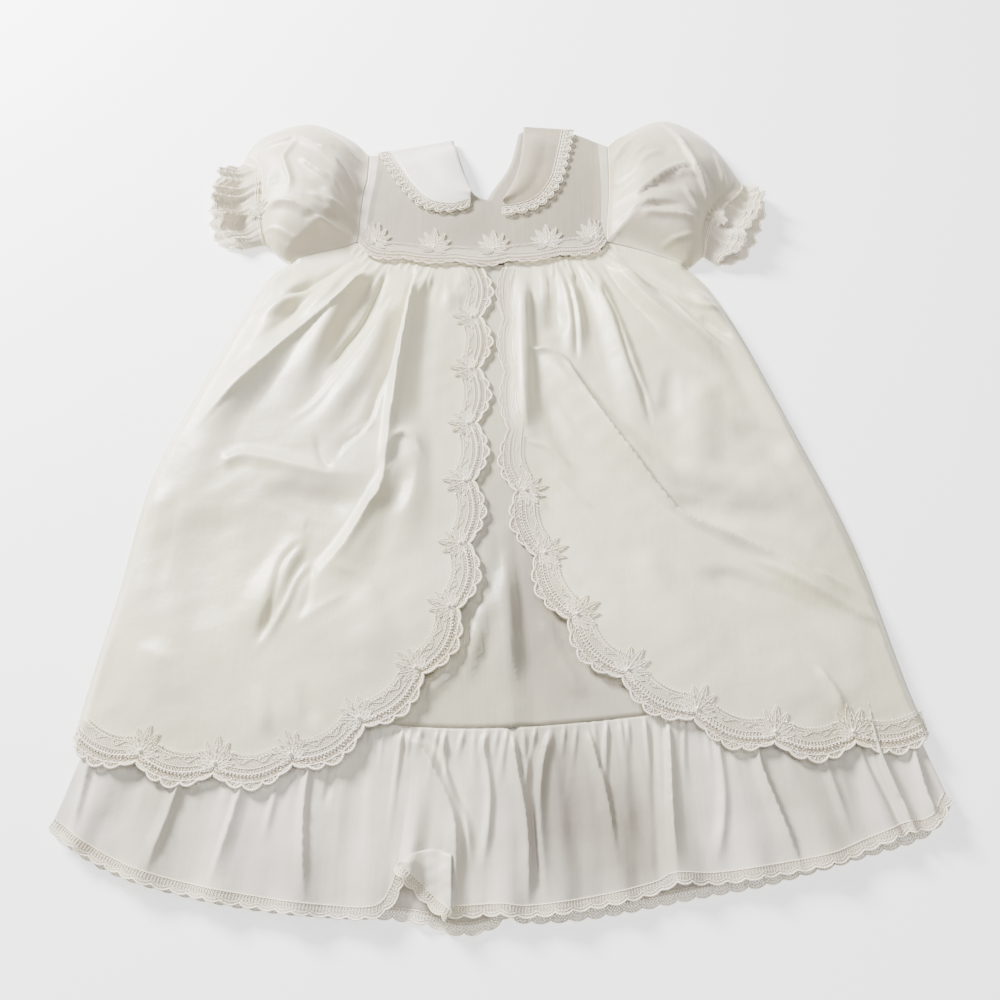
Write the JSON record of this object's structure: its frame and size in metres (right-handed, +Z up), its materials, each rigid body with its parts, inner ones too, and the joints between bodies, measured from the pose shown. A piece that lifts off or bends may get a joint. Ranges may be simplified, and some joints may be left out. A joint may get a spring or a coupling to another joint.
{
  "type": "christening gown",
  "caption": "Baby's christening gown laid flat: puffed sleeves, round collar, lace-edged overskirt open over a satin skirt, gathered hem ruffle.",
  "frame": {"origin": "middle of the gown's footprint, on the surface that it lies on", "axes": "+Y from the hem towards the collar, +Z up through the front, away from the surface, +X towards the gown's left sleeve side as worn"},
  "size_m": [0.5342, 0.6326, 0.0344],
  "materials": {
    "satin": "ivory satin with a soft long highlight",
    "plain": "ivory plain-woven cloth with a low sheen",
    "lace": "matt pinkish ivory lace with small beads and sequins",
    "organza": "fine ivory organza with a slight gloss"
  },
  "bodies": {
    "root": {"bodice_front": "plain", "bodice_back_left": "plain", "bodice_back_right": "plain", "collar_left": "satin", "collar_right": "satin", "collar_lace_left": "lace", "collar_lace_right": "lace", "sleeve_left": "plain", "sleeve_right": "plain", "cuff_lace_left": "lace", "cuff_lace_right": "lace", "skirt_front": "satin", "skirt_back": "satin", "ruffle_front": "organza", "ruffle_back": "organza", "hem_lace_front": "lace", "hem_lace_back": "lace", "overskirt_left": "satin", "overskirt_right": "satin", "overskirt_back": "satin", "overskirt_lace_left": "lace", "overskirt_lace_right": "lace", "overskirt_lace_back": "lace", "waist_lace": "lace"}
  },
  "joints": []
}
